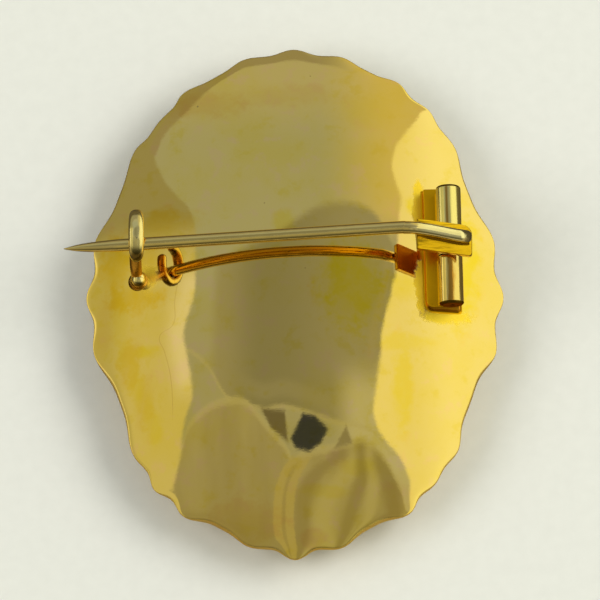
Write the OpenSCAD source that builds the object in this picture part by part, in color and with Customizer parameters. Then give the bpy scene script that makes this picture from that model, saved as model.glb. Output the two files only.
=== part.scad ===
// Scalloped oval brooch, lying on its flat front with its domed back up.
// Millimetres. +Z is up through the back, +Y is the long way of the oval,
// and the origin is the middle of the flat face that it rests on.

/* [Case] */
// Width of the plain oval that the scalloped edge swings about
oval_w = 34.7; // [31:0.1:40]
// Length of that oval
oval_l = 44.5; // [40:0.1:52]
// Height of the widest line above the flat front
front_h = 3.8; // [2.6:0.1:5]
// Rise of the front's sloping border, within that height
border_h = 1.2; // [0.6:0.1:1.6]
// Rise of the domed back over the whole oval
dome_h = 4.7; // [3:0.1:6]
// Further fall of the back where its rim rolls over
roll_h = 0.3; // [0.2:0.05:1]
// How evenly the back's rim rolls over, from 1 for a quarter round to 0.3 for a turn close to the edge
roll_even = 0.35; // [0.3:0.05:1]
// Thickness of the gold sheet
sheet_t = 0.4; // [0.3:0.05:0.7]
// Share of the radius at which the fluted rim begins
rim_share = 0.87; // [0.82:0.01:0.92]
// Share of the radius that the flat table takes up at the front
table_share = 0.55; // [0.4:0.01:0.7]

/* [Hinge] */
// Sideways place of the turning tube's middle
hinge_x = 13.3; // [12:0.1:13.5]
// Place of the turning tube's middle along the oval
hinge_y = 3.9; // [3.4:0.01:4.4]
// Turn of the hinge line away from the oval's length
hinge_turn = 1.6; // [0:0.1:4]
// Reach of the fixed tubes below that middle
reach_low = 5.53; // [4.5:0.01:6.5]
// Reach of the fixed tubes above it
reach_high = 5.02; // [4.5:0.01:6]
// Outside diameter of the tubes
tube_d = 2.15; // [1.8:0.05:2.4]
// Diameter of the rivet that the pin turns on
rivet_d = 1.1; // [0.8:0.05:1.2]
// Length of the turning tube between the fixed ones
knuckle_l = 2.3; // [2:0.05:2.5]
// Height of the bearer between the back and the tubes
bearer_h = 1.85; // [1.5:0.05:2.2]
// Reach of the bearer towards the middle of the brooch
bearer_in = 2.13; // [1.6:0.01:2.6]
// Reach of the bearer towards the edge
bearer_out = 0.75; // [0.5:0.05:0.8]
// Distance of the bearer's lower end from the tubes' end
bearer_short = 0.18; // [0:0.01:0.3]
// Reach of the bearer past the tubes' upper end
bearer_past = 0.15; // [0:0.01:0.3]

/* [Strap] */
// Length of the flat strap on the turning tube
strap_l = 4.75; // [4:0.05:5]
// Width of the strap
strap_w = 2.7; // [2.3:0.05:2.9]
// Thickness of the strap
strap_t = 0.7; // [0.5:0.05:0.9]
// Slant of the strap's long sides
strap_slant = -8.7; // [-11:0.1:-6]
// Sideways place of the strap's middle, from the hinge line
strap_dx = -0.48; // [-0.7:0.01:-0.4]

/* [Pin stem] */
// Diameter of the stem's wire
stem_d = 1.1; // [0.9:0.05:1.15]
// Height of the stem's middle over the top of the dome
stem_rise = 2.28; // [2.2:0.02:2.4]
// Rise of the stem towards the hinge, per millimetre of its length
stem_slope = 0.031; // [0.028:0.001:0.034]
// Sideways place of the stem's point
tip_x = -19.85; // [-21:0.05:-19]

/* [Catch] */
// Sideways place of the catch
catch_x = -13.6; // [-13.8:0.1:-13.4]
// Half height of the hook, to the middle of its wire
hook_h = 1.5; // [1.45:0.05:1.7]
// Half depth of the hook, to the middle of its wire
hook_l = 1.84; // [1.8:0.02:2]
// Width of the hook's flattened wire
hook_w = 1.35; // [1.1:0.05:1.5]
// Thickness of the hook's flattened wire
hook_t = 0.9; // [0.7:0.05:0.95]
// Place of the foot along the oval
foot_y = 1.22; // [1:0.01:1.4]

/* [Hidden] */

// Spokes of the case's facets, sides of a wire, and smoothness of true rounds
spokes = 192;
sides = 16;
$fn = 48;
// Gaps at the seam of the case, under soldered feet, at the turning tube's ends, round the rivet,
// and between the closed stem and its hook
seam = 0.04;
seat = 0.06;
end_gap = 0.07;
bore_gap = 0.04;
hook_gap = 0.07;
// Rounding at the tubes' outer ends, and how far the rivet's ends stand back from them
tube_round = 0.3;
rivet_short = 0.05;

case_h = front_h + seam + dome_h + roll_h;
tube_r = tube_d/2;
bore_r = rivet_d/2 + bore_gap;
hinge_z = back_z(hinge_x, hinge_y) + bearer_h + tube_r;

// The scalloped edge: a row for each lobe, which holds three scallops.
// place: angle of its middle scallop.  step: angle from one scallop to the next.
// mid, before, after: how far the scallops stand out from the oval.
// dip: the same for the two dips between them.  valley: and for the wide valley after the lobe.
// broad: broadness of that valley, where 1 is a plain wave.
LOBES = [
//  place  step   mid    before  after  dip     valley  broad
    [0.8,  12.4,  0.68,  0.38,   0.37,  0.03,   -0.58,  1.6],
    [49,   10.5,  0.36,  0.18,   0.39,  0.05,   -0.15,  1.6],
    [90.5, 14,    0.28,  0.20,   0.10,  -0.14,  -0.35,  1.6],
    [133.5, 9.5,  -0.18, 0.12,   0.06,  -0.26,  -0.48,  1.6],
    [179.5, 12,   0.71,  0.48,   0.42,  0.11,   -0.69,  1.6],
    [227.5, 9.5,  0.52,  0.21,   0.41,  0.02,   -0.50,  1.6],
    [270,  12.8,  0.62,  0.06,   0.17,  -0.14,  -0.52,  1.6],
    [313.5, 9.5,  0.14,  0.38,   0.12,  -0.08,  -0.70,  2.8]
];

function lobe(i) = let (turn = floor(i/len(LOBES)), row = LOBES[i - turn*len(LOBES)])
    concat([row[0] + 360*turn], [for (c = [1:7]) row[c]]);

// Crests and troughs in order round the edge: angle, swell, and broadness where it is a wide valley
WAVES = [for (i = [-1:len(LOBES)]) let (a = lobe(i), b = lobe(i + 1))
    each [[a[0] - a[1], a[3], 0], [a[0] - a[1]/2, a[5], 0], [a[0], a[2], 0], [a[0] + a[1]/2, a[5], 0],
          [a[0] + a[1], a[4], 0], [(a[0] + a[1] + b[0] - b[1])/2, a[6], a[7]]]];

function ease(u) = (1 - cos(180*u))/2;
function wave(a, b, t) = let (u = ease((t - a[0])/(b[0] - a[0])))
    a[1] + (b[1] - a[1])*(b[2] > 0 ? 1 - pow(1 - u, b[2]) : a[2] > 0 ? pow(u, a[2]) : u);
function swell(t) = let (i = max([for (k = [0:len(WAVES) - 2]) if (WAVES[k][0] <= t) k]))
    wave(WAVES[i], WAVES[i + 1], t);

// The case's surface is led by two numbers: the share of the radius from the middle to where the
// rim begins, and then the angle of the rim's roll-over, from 0 to 90 degrees. The share of the
// rim's width that lies within that angle is more than the angle's sine where the turn is uneven.
function oval(t) = [oval_w/2*cos(t), oval_l/2*sin(t)];
function outward(t) = let (n = [cos(t)/oval_w, sin(t)/oval_l]) n/norm(n);
function rim_way(roll, even) = pow(sin(roll), even);
function share(s, way) = s + (1 - rim_share)*way;
function edge(t, s, way, inset) =
    share(s, way)*oval(t) + (pow(way, 2)*swell(t) - inset)*outward(t);

// Heights of the outside of the back and of the front; the front's rim is a quarter round
function back_at(s, roll) = case_h - dome_h*pow(share(s, rim_way(roll, roll_even)), 2)
    - roll_h*(1 - pow(cos(roll), roll_even));
function front_at(s, roll) =
    border_h*pow(max(0, share(s, rim_way(roll, 1)) - table_share)/(1 - table_share), 2)
    + (front_h - border_h)*(1 - cos(roll));
// Height of the back over any place on it
function back_z(x, y) = let (s = norm([2*x/oval_w, 2*y/oval_l]),
    way = min(1, max(0, s - rim_share)/(1 - rim_share)))
    back_at(min(s, rim_share), asin(pow(way, 1/roll_even)));

// One ring of the case, on its outside (in = 0) or a sheet's thickness within it (in = 1);
// up is 1 for the back and -1 for the front
function ring(s, roll, in, up) = [for (k = [0:spokes - 1]) let (
    t = (up > 0 ? k : spokes - k)*360/spokes,
    p = edge(t, s, rim_way(roll, up > 0 ? roll_even : 1), in*sheet_t*sin(roll)),
    z = up > 0 ? back_at(s, roll) : front_at(s, roll))
    [p[0], p[1], z - up*in*sheet_t*cos(roll)]];

// Faces of a closed solid made of m rings of n points, with a middle point at each end
function ring_faces(m, n) = concat(
    [for (k = [0:n - 1]) [0, 1 + (k + 1)%n, 1 + k]],
    [for (r = [0:m - 2], k = [0:n - 1]) let (a = 1 + r*n, j = (k + 1)%n)
        each [[a + k, a + j, a + n + k], [a + j, a + n + j, a + n + k]]],
    [for (k = [0:n - 1]) let (a = 1 + (m - 1)*n) [m*n + 1, a + k, a + (k + 1)%n]]);

module ringed(rings, first, last) {
    polyhedron(points = concat([first], [for (r = rings) each r], [last]),
        faces = ring_faces(len(rings), len(rings[0])), convexity = 4);
}

// Rings of a shell, outside from its middle to the edge, then back along its inside
function shell_rings(spans, up) = concat(
    [for (s = spans) ring(s, 0, 0, up)],
    [for (roll = [0:22.5:90]) ring(rim_share, roll, 0, up)],
    [for (roll = [90:-45:0]) ring(rim_share, roll, 1, up)],
    [for (i = [len(spans) - 1:-2:0]) ring(spans[i], 0, 1, up)]);

module back_shell() {
    color("gold")
    ringed(shell_rings([0.2, 0.4, 0.6, 0.76], 1), [0, 0, case_h], [0, 0, case_h - sheet_t]);
}

module front_shell() {
    color("goldenrod")
    ringed(shell_rings([table_share, 0.66, 0.77], -1), [0, 0, 0], [0, 0, sheet_t]);
}

// Point in the middle of a ring's points
function middle(points) = [for (a = [0:2]) [for (p = points) p[a]]*[for (p = points) 1]/len(points)];

// The hinge's parts are drawn about the middle of the turning tube, with the hinge line along Y
module at_hinge() {
    translate([hinge_x, hinge_y, hinge_z])
    rotate([0, 0, hinge_turn])
    children();
}
// Height of the back under a place in the hinge's own measure
function back_under(x, y) = back_z(hinge_x + x*cos(hinge_turn) - y*sin(hinge_turn),
    hinge_y + x*sin(hinge_turn) + y*cos(hinge_turn)) - hinge_z;

// A fixed tube of a length, outwards along Y, rounded at its outer end
module fixed_tube(long) {
    rotate([-90, 0, 0])
    rotate_extrude()
    polygon(concat(
        [[bore_r, 0], [tube_r, 0]],
        [for (a = [90:-30:0])
            [tube_r - tube_round*(1 - sin(a)), long - tube_round*(1 - cos(a))]],
        [[bore_r, long]]));
}

// Top of the bearer under the turning tube, and of the solder that fills in under the fixed tubes
bearer_top = -tube_r - 0.2;
solder_top = -tube_r + 0.32;
solder_w = 1.4;
// The bearer's ends draw in at the corners: share of its length, and how far each side draws in
BEARER = [
//  along  in
    [0.00, 0.55],
    [0.02, 0.25],
    [0.06, 0.00],
    [0.25, 0.00],
    [0.50, 0.00],
    [0.75, 0.00],
    [0.98, 0.00],
    [1.00, 0.10]
];
// Steps across the bearer's foot, which follows the dome
bearer_steps = 4;
bearer_from = bearer_short - reach_low;
bearer_to = reach_high + bearer_past;

function bearer_ring(row) = let (
    y = bearer_from + row[0]*(bearer_to - bearer_from),
    x0 = row[1] - bearer_in,
    x1 = bearer_out - row[1])
    concat([for (k = [0:bearer_steps]) let (x = x0 + (x1 - x0)*k/bearer_steps)
        [x, y, back_under(x, y) + seat]],
        [[x1, y, bearer_top], [x0, y, bearer_top]]);

module hinge_base() {
    inner = knuckle_l/2 + end_gap;
    rings = [for (row = BEARER) bearer_ring(row)];
    color("gold")
    at_hinge() {
        ringed(rings, middle(rings[0]), middle(rings[len(rings) - 1]));
        for (span = [[tube_round - reach_low, -inner], [inner, reach_high - tube_round]])
            translate([-solder_w/2, span[0], bearer_top - 0.1])
            cube([solder_w, span[1] - span[0], solder_top - bearer_top + 0.1]);
        translate([0, inner, 0])
        fixed_tube(reach_high - inner);
        translate([0, -inner, 0])
        rotate([0, 0, 180])
        fixed_tube(reach_low - inner);
    }
}

module hinge_rivet() {
    color("khaki")
    at_hinge()
    translate([0, rivet_short - reach_low, 0])
    rotate([-90, 0, 0])
    cylinder(d = rivet_d, h = reach_low + reach_high - 2*rivet_short);
}

// The turning tube, with the strap soldered on its top by a narrow rib; the strap slopes with the
// stem and lies close under it
strap_z = stem_height(hinge_x + strap_dx) - stem_d/2 - seat - strap_t;
rib_w = 1.2;
rib_l = 2.1;

module pin_knuckle() {
    color("gold")
    difference() {
        union() {
            at_hinge() {
                rotate([-90, 0, 0])
                cylinder(r = tube_r, h = knuckle_l, center = true);
                translate([-rib_w/2, -rib_l/2, 0])
                cube([rib_w, rib_l, strap_z - hinge_z + 0.1]);
            }
            translate([hinge_x + strap_dx, hinge_y, strap_z])
            rotate([0, -atan(stem_slope), 0])
            linear_extrude(strap_t)
            polygon([for (c = [[-1, -1], [1, -1], [1, 1], [-1, 1]])
                [c[0]*strap_l/2, c[1]*strap_w/2 + c[0]*strap_l/2*tan(strap_slant)]]);
        }
        at_hinge()
        rotate([-90, 0, 0])
        cylinder(r = bore_r, h = 2*knuckle_l, center = true);
    }
}

// Rings across a wire: half widths a and b along two directions
function wire_ring(p, u, v, a, b) = [for (k = [0:sides - 1]) let (t = k*360/sides)
    p + a*cos(t)*u + b*sin(t)*v];

// The stem from its end over the hinge to its point: a row for each ring
STEM = [
//  x       y     share of the full diameter
    [15.13, 3.69, 0.40],
    [15.03, 3.71, 0.75],
    [14.78, 3.75, 1.00],
    [13.60, 3.96, 1.00],
    [12.20, 4.26, 1.00],
    [11.20, 4.45, 1.00],
    [10.30, 4.57, 1.00],
    [9.40,  4.61, 1.00],
    [8.40,  4.59, 1.00]
];
// From there the stem runs straight: share of the way to the point, and share of the diameter
STEM_RUN = [
//  way     diameter
    [0.30,  1.00],
    [0.55,  1.00],
    [0.80,  1.00],
    [0.87,  0.89],
    [0.92,  0.74],
    [0.955, 0.54],
    [0.98,  0.30],
    [1.00,  0.06]
];
run_start = STEM[len(STEM) - 1];
run_drop = 0.0584;

function stem_height(x) = case_h + stem_rise + stem_slope*x;
function stem_at(x, y, d) = [x, y, stem_height(x), d];
STEM_PATH = concat(
    [for (r = STEM) stem_at(r[0], r[1], r[2])],
    [for (r = STEM_RUN) let (dx = r[0]*(tip_x - run_start[0]))
        stem_at(run_start[0] + dx, run_start[1] + run_drop*dx, r[1])]);
function spot(p) = [p[0], p[1], p[2]];

module pin_stem() {
    n = len(STEM_PATH) - 1;
    rings = [for (i = [0:n]) let (
        p = STEM_PATH[i],
        way = spot(STEM_PATH[min(i + 1, n)]) - spot(STEM_PATH[max(i - 1, 0)]),
        u = cross(way, [0, 1, 0])/norm(cross(way, [0, 1, 0])),
        v = cross(way, u)/norm(cross(way, u)))
        wire_ring(spot(p), v, u, p[3]*stem_d/2, p[3]*stem_d/2)];
    color("palegoldenrod")
    ringed(rings, middle(rings[0]), middle(rings[n]));
}

// The hook stands in the plane across the stem and is open low down on the side of greater Y.
// Its middle sits over the stem so that the stem rests against the closed side.
stem_y = run_start[1] + run_drop*(catch_x - run_start[0]);
hook_y = stem_y - stem_d/2 - hook_gap + hook_l - hook_t/2;
hook_z = stem_height(catch_x) - hook_gap;
// Angles from +Y by way of the top, at the free end and at the end of the lower lip
hook_from = 2;
hook_to = 276;
hook_step = 11;

// The hook's rounded ends: how far past the end a ring lies, and its share of the wire's size
END = [
//  past  size
    [0.32, 0.45],
    [0.20, 0.85]
];

function hook_ring(a, size = 1, past = 0) = let (
    p = [catch_x, hook_y + hook_l*cos(a), hook_z + hook_h*sin(a)],
    way = [0, -hook_l*sin(a), hook_h*cos(a)]/norm([hook_l*sin(a), hook_h*cos(a)]))
    wire_ring(p + past*way, cross(way, [1, 0, 0]), [1, 0, 0], size*hook_t/2, size*hook_w/2);

// The post, from its foot up: height over the back and place along the oval, from the foot;
// place sideways, from the catch's middle; half widths
POST = [
//  height  along  side   half_x  half_y
    [0.42,  0.00,  0.10,  0.76,   0.74],
    [0.56,  0.00,  0.10,  0.64,   0.62],
    [0.68,  0.00,  0.10,  0.58,   0.56],
    [0.85,  0.00,  0.12,  0.66,   0.64],
    [1.05,  0.00,  0.12,  0.64,   0.62],
    [1.25,  0.04,  0.08,  0.57,   0.55],
    [1.60,  0.18,  0.00,  0.53,   0.47],
    [2.40,  0.75,  -0.10, 0.52,   0.43],
    [3.30,  1.45,  -0.10, 0.50,   0.40],
    [3.75,  1.75,  -0.08, 0.40,   0.30]
];
// Half widths of the foot where it meets the back
foot_x = 0.82;
foot_l = 0.80;

module catch() {
    n = round((hook_to - hook_from)/hook_step);
    rings = concat(
        [for (e = END) hook_ring(hook_from, e[1], -e[0])],
        [for (k = [0:n]) hook_ring(hook_from + k*(hook_to - hook_from)/n)],
        [for (i = [1:-1:0]) hook_ring(hook_to, END[i][1], END[i][0])]);
    foot_z = back_z(catch_x, foot_y);
    base = [for (k = [0:sides - 1]) let (
        t = k*360/sides,
        x = catch_x + POST[0][2] + foot_x*sin(t),
        y = foot_y + foot_l*cos(t))
        [x, y, back_z(x, y) + seat]];
    post = concat([base], [for (r = POST) wire_ring(
        [catch_x + r[2], foot_y + r[1], foot_z + r[0]], [0, 1, 0], [1, 0, 0], r[4], r[3])]);
    color("gold") {
        ringed(rings, middle(rings[0]), middle(rings[len(rings) - 1]));
        ringed(post, middle(base), middle(post[len(post) - 1]));
    }
}

front_shell();
back_shell();
hinge_base();
hinge_rivet();
pin_knuckle();
pin_stem();
catch();
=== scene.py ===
"""A scalloped oval gold brooch, lying on its front with its domed back up.

Sizes are in millimetres and angles in degrees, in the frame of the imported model:
+Z up, +Y along the oval, and the origin in the middle of the face it lies on.
"""
import math

import bmesh
import bpy
from mathutils import Matrix, Vector, noise


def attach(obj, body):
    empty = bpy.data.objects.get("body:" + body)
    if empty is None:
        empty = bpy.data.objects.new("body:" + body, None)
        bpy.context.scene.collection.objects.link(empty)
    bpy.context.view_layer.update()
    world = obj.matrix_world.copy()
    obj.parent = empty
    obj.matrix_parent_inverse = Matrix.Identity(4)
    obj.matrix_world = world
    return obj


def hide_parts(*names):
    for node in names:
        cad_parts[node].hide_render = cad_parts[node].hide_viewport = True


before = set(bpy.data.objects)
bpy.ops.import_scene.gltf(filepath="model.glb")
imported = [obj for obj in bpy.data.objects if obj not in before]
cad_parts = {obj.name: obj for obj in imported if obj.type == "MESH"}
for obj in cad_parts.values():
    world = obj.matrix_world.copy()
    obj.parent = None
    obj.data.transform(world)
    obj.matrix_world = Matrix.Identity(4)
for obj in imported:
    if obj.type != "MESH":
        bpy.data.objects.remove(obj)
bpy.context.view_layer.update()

MM = 0.001

# ---- Sizes ----

# Case: the plain oval under the scallops, and the heights of the front, of its sloping border, of
# the dome and of the turned edge
OVAL_W, OVAL_L = 34.7, 44.5
FRONT_H, BORDER_H, DOME_H, ROLL_H = 3.8, 1.2, 4.7, 0.3
# How closely the back turns down at its scalloped edge, and the least that it turns down by
EDGE_EVEN, EDGE_TURN = 0.2, 0.09
SHEET_T = 0.4
# Shares of the oval at which the edge begins and the front's table ends
RIM_SHARE, TABLE_SHARE = 0.87, 0.55
# The gap between the two halves, and the rounding of the sheet's edge at it
SEAM, LIP = 0.04, 0.07
CASE_H = FRONT_H + SEAM + DOME_H + ROLL_H

# Hinge: its middle, its turn seen from above, and how far the tubes reach from the middle
HINGE_X, HINGE_Y, HINGE_TURN = 13.3, 3.9, 1.6
REACH_LOW, REACH_HIGH = 5.53, 5.02
TUBE_R, RIVET_R, BORE_R = 1.075, 0.55, 0.59
# Roundings of the tubes' outer and inner ends and of the rivet's end
TUBE_ROUND, INNER_ROUND, RIVET_ROUND = 0.3, 0.05, 0.2
KNUCKLE_L, END_GAP = 2.3, 0.07
# The bearer block: its height, how far it reaches to the left and right of the hinge line, how
# far its lower end is short of the tube's and its upper end past it, and its top
BEARER_H, BEARER_IN, BEARER_OUT = 1.85, 2.13, 0.75
BEARER_SHORT, BEARER_PAST = 0.18, 0.15
BEARER_TOP = -TUBE_R - 0.2

# Strap and stem
STRAP_L, STRAP_W, STRAP_T, STRAP_SLANT, STRAP_DX = 4.75, 2.7, 0.7, -8.7, -0.48
STEM_D, STEM_RISE, STEM_SLOPE = 1.1, 2.28, 0.031
TIP_X = -19.85
# The gap between stem and strap, and the bead of solder beside it: breadth and height
SEAT = 0.06
BEAD_W, BEAD_H = 0.15, 0.30

# Catch: half height and half length of the hook's curve, breadth and thickness of its wire, the
# angles that it runs between, the length of its rounded ends, and its gap from the stem
CATCH_X = -13.6
HOOK_H, HOOK_L, HOOK_W, HOOK_T = 1.5, 1.84, 1.35, 0.9
HOOK_FROM, HOOK_TO, HOOK_ROUND, HOOK_GAP = 2, 276, 0.44, 0.07
FOOT_Y = 1.22

# The scalloped edge: a row for each lobe of three scallops. Angle of its middle scallop, angle
# from one scallop to the next, how far the middle scallop, the one before it, the one after it,
# the dips between them and the valley after the lobe stand out from the oval, and how broad that
# valley is, where 1 is a plain wave.
LOBES = [
    (0.8, 12.4, 0.68, 0.38, 0.37, 0.03, -0.58, 1.6),
    (49, 10.5, 0.36, 0.18, 0.39, 0.05, -0.15, 1.6),
    (90.5, 14, 0.28, 0.20, 0.10, -0.14, -0.35, 1.6),
    (133.5, 9.5, -0.18, 0.12, 0.06, -0.26, -0.48, 1.6),
    (179.5, 12, 0.71, 0.48, 0.42, 0.11, -0.69, 1.6),
    (227.5, 9.5, 0.52, 0.21, 0.41, 0.02, -0.50, 1.6),
    (270, 12.8, 0.62, 0.06, 0.17, -0.14, -0.52, 1.6),
    (313.5, 9.5, 0.14, 0.38, 0.12, -0.08, -0.70, 2.8),
]


def sind(angle):
    return math.sin(math.radians(angle))


def cosd(angle):
    return math.cos(math.radians(angle))


# ---- The case's surface ----


def edge_waves():
    """Crests and troughs in order round the edge: angle, swell, and how broad a valley is."""
    waves = []
    count = len(LOBES)
    for i in range(-1, count + 1):
        place, step, middle, before, after, dip, valley, broad = LOBES[i % count]
        place += 360 * (i // count)
        following = LOBES[(i + 1) % count]
        next_crest = following[0] + 360 * ((i + 1) // count) - following[1]
        waves += [
            (place - step, before, 0),
            (place - step / 2, dip, 0),
            (place, middle, 0),
            (place + step / 2, dip, 0),
            (place + step, after, 0),
            ((place + step + next_crest) / 2, valley, broad),
        ]
    return waves


WAVES = edge_waves()


def swell(t):
    """How far the scalloped edge stands out from the oval at an angle from 0 to 360."""
    i = max(k for k in range(len(WAVES) - 1) if WAVES[k][0] <= t)
    (t0, low, broad_before), (t1, high, broad_after) = WAVES[i], WAVES[i + 1]
    share = (1 - cosd(180 * (t - t0) / (t1 - t0))) / 2
    if broad_after:
        share = 1 - (1 - share) ** broad_after
    elif broad_before:
        share = share**broad_before
    return low + (high - low) * share


def rim_fall(way, even):
    """Share of the rim's height that it has fallen by a share of the way out; even is 1 for a
    quarter round and less for a turn close to the edge."""
    return 1 - cosd(math.degrees(math.asin(way ** (1 / even)))) ** even if way < 1 else 1


def rim_share(way):
    """Share of the oval at a share of the way out over the rim."""
    return RIM_SHARE + (1 - RIM_SHARE) * way


def back_z(x, y):
    """Height of the domed back over any place on it."""
    return CASE_H - DOME_H * ((2 * x / OVAL_W) ** 2 + (2 * y / OVAL_L) ** 2)


def hammered(x, y):
    """The slight unevenness of sheet gold that was raised and polished by hand."""
    broad = noise.noise((x / 9.0, y / 9.0, 2.3))
    narrow = noise.noise((x / 4.2, y / 4.2, 7.1))
    return 0.016 * broad + 0.0035 * narrow


# ---- Making meshes ----

# Faces round a wire and round a tube, and along a bar
WIRE_SIDES, TUBE_SIDES, BAR_STEPS = 40, 64, 24


def finished(name, bm, body, slot, node, *materials, sharp=35):
    """Turns a bmesh in millimetres into a smooth piece that rides on a body and, where a node is
    given, stands for it; its edges are sharp from an angle on."""
    bmesh.ops.remove_doubles(bm, verts=bm.verts, dist=1e-5)
    bmesh.ops.recalc_face_normals(bm, faces=bm.faces)
    bmesh.ops.scale(bm, vec=(MM, MM, MM), verts=bm.verts)
    mesh = bpy.data.meshes.new(name)
    bm.to_mesh(mesh)
    bm.free()
    mesh.shade_smooth()
    mesh.set_sharp_from_angle(angle=math.radians(sharp))
    for material in materials:
        mesh.materials.append(material)
    piece = bpy.data.objects.new(name, mesh)
    bpy.context.scene.collection.objects.link(piece)
    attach(piece, body)
    if node:
        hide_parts(node)


def add_rings(bm, rings):
    """Skins a run of rings of points and closes each end with one face; gives the new faces."""
    before = len(bm.faces)
    rows = [[bm.verts.new(p) for p in ring] for ring in rings]
    count = len(rows[0])
    for near, far in zip(rows, rows[1:]):
        for k in range(count):
            j = (k + 1) % count
            bm.faces.new((near[k], near[j], far[j], far[k]))
    bm.faces.new(rows[0][::-1])
    bm.faces.new(rows[-1])
    return list(bm.faces)[before:]


def paint(faces, index):
    """Gives faces another of their piece's materials."""
    for face in faces:
        face.material_index = index


def oval_ring(centre, u, v, a, b, square=2.0):
    """A ring about a point, with half widths a along u and b along v; square over 2 fills its
    corners out."""
    ring = []
    for k in range(WIRE_SIDES):
        c, s = cosd(360 * k / WIRE_SIDES), sind(360 * k / WIRE_SIDES)
        stretch = (abs(c) ** square + abs(s) ** square) ** (-1 / square)
        ring.append(centre + a * c * stretch * u + b * s * stretch * v)
    return ring


def smooth_rows(rows, steps):
    """Rows of numbers with more rows between them, on a smooth curve through all of them."""
    made = []
    last = len(rows) - 1
    for i in range(last):
        before, here = rows[max(i - 1, 0)], rows[i]
        there, beyond = rows[i + 1], rows[min(i + 2, last)]
        for k in range(steps):
            u = k / steps
            made.append([
                0.5 * (2 * b + (c - a) * u + (2 * a - 5 * b + 4 * c - d) * u * u
                       + (3 * b - a - 3 * c + d) * u**3)
                for a, b, c, d in zip(before, here, there, beyond)
            ])
    made.append(list(rows[-1]))
    return made


def at_hinge(point):
    """A point in the hinge's own measure, about the middle of the turning tube."""
    turn = Matrix.Rotation(math.radians(HINGE_TURN), 3, "Z")
    return turn @ Vector(point) + Vector((HINGE_X, HINGE_Y, HINGE_Z))


def add_turned(bm, profile, along=1):
    """Turns a profile of radius and distance about the hinge line; along is -1 for the lower half
    of the hinge."""
    turns = [360 * k / TUBE_SIDES for k in range(TUBE_SIDES)]
    rings = [[at_hinge((r * cosd(a), along * y, r * sind(a))) for a in turns] for r, y in profile]
    return add_rings(bm, rings)


def rounded_end(radius, end, round_r, steps=6):
    """Profile points that carry a tube's side round into its end."""
    turns = [90 * k / steps for k in range(steps + 1)]
    return [(radius - round_r * (1 - cosd(a)), end - round_r * (1 - sind(a))) for a in turns]


HINGE_Z = back_z(HINGE_X, HINGE_Y) + BEARER_H + TUBE_R


def stem_height(x):
    """Height of the middle of the stem at a place along X."""
    return CASE_H + STEM_RISE + STEM_SLOPE * x


# ---- The view ----

ELEVATION = 76
LENS, SENSOR, PICTURE = 500, 36, 600
# Points of the picture to a millimetre, and the distance at which that is so
PICTURE_SCALE = 11.6
DISTANCE = LENS * PICTURE / SENSOR / PICTURE_SCALE
VIEW_CENTRE = Vector((0.42, -0.45, 6.0))
TOWARDS_CAMERA = Vector((0, -cosd(ELEVATION), sind(ELEVATION)))
UP_IN_PICTURE = Vector((0, sind(ELEVATION), cosd(ELEVATION)))
CAMERA_PLACE = VIEW_CENTRE + TOWARDS_CAMERA * DISTANCE


def on_back(px, py):
    """The place on the domed back that is seen at a point of the picture."""
    x = VIEW_CENTRE.x + (px - PICTURE / 2) / PICTURE_SCALE
    seen_up = (PICTURE / 2 - py) / PICTURE_SCALE
    y = 0
    for _ in range(40):
        lift = back_z(x, y) - VIEW_CENTRE.z
        y = VIEW_CENTRE.y + (seen_up - lift * cosd(ELEVATION)) / sind(ELEVATION)
    return Vector((x, y, back_z(x, y)))


def mirrored(px, py):
    """The place on the tent that the back mirrors at a point of the picture: two numbers, sideways
    and up, that are the tangent of half the angle away from the tent's front opening."""
    place = on_back(px, py)
    normal = Vector((8 * DOME_H * place.x / OVAL_W**2, 8 * DOME_H * place.y / OVAL_L**2, 1))
    normal.normalize()
    seen_from = (CAMERA_PLACE - place).normalized()
    way = 2 * normal.dot(seen_from) * normal - seen_from
    away = 1 + way.dot(TOWARDS_CAMERA)
    return way.x / away, way.dot(UP_IN_PICTURE) / away


# ---- Materials ----


def feed(tree, socket, value):
    """Sets a socket to a value, or links it to another socket."""
    if isinstance(value, bpy.types.NodeSocket):
        tree.links.new(value, socket)
    else:
        socket.default_value = value


def add_node(tree, kind, settings=None, **sockets):
    """Adds a shader node; each keyword names an input socket and its value or the link to it."""
    made = tree.nodes.new("ShaderNode" + kind)
    for name, value in (settings or {}).items():
        setattr(made, name, value)
    for name, value in sockets.items():
        feed(tree, made.inputs[name.replace("_", " ")], value)
    return made


def fed_node(tree, kind, settings, *values):
    """Adds a shader node and feeds its inputs in order."""
    made = add_node(tree, kind, settings)
    for socket, value in zip(made.inputs, values):
        feed(tree, socket, value)
    return made


def maths(tree, operation, *values):
    return fed_node(tree, "Math", {"operation": operation}, *values).outputs[0]


def minus(tree, value, less):
    return maths(tree, "SUBTRACT", value, less)


def times(tree, *values):
    """The product of two or more masks or numbers."""
    made = values[0]
    for value in values[1:]:
        made = maths(tree, "MULTIPLY", made, value)
    return made


def scaled(tree, value, factor, more):
    """A value times a factor, plus more."""
    return maths(tree, "MULTIPLY_ADD", value, factor, more)


def off_from(tree, value, line):
    """How far a value is from a line, on either side."""
    return maths(tree, "ABSOLUTE", minus(tree, value, line))


def vector_maths(tree, operation, *values):
    return fed_node(tree, "VectorMath", {"operation": operation}, *values).outputs["Vector"]


def dot(tree, vector, axis):
    made = fed_node(tree, "VectorMath", {"operation": "DOT_PRODUCT"}, vector, axis)
    return made.outputs["Value"]


def cloudy(tree, place, scale, detail, roughness=0.5):
    """Soft noise from 0 to 1, with its middle near 0.5."""
    made = add_node(tree, "TexNoise", Vector=place, Scale=scale, Detail=detail,
                    Roughness=roughness)
    return made.outputs["Fac"]


def fade(tree, value, start, end):
    """0 up to start, 1 from end on, and smooth between them."""
    made = add_node(tree, "MapRange", {"interpolation_type": "SMOOTHSTEP"}, Value=value,
                    From_Min=start, From_Max=end)
    return made.outputs["Result"]


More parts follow.
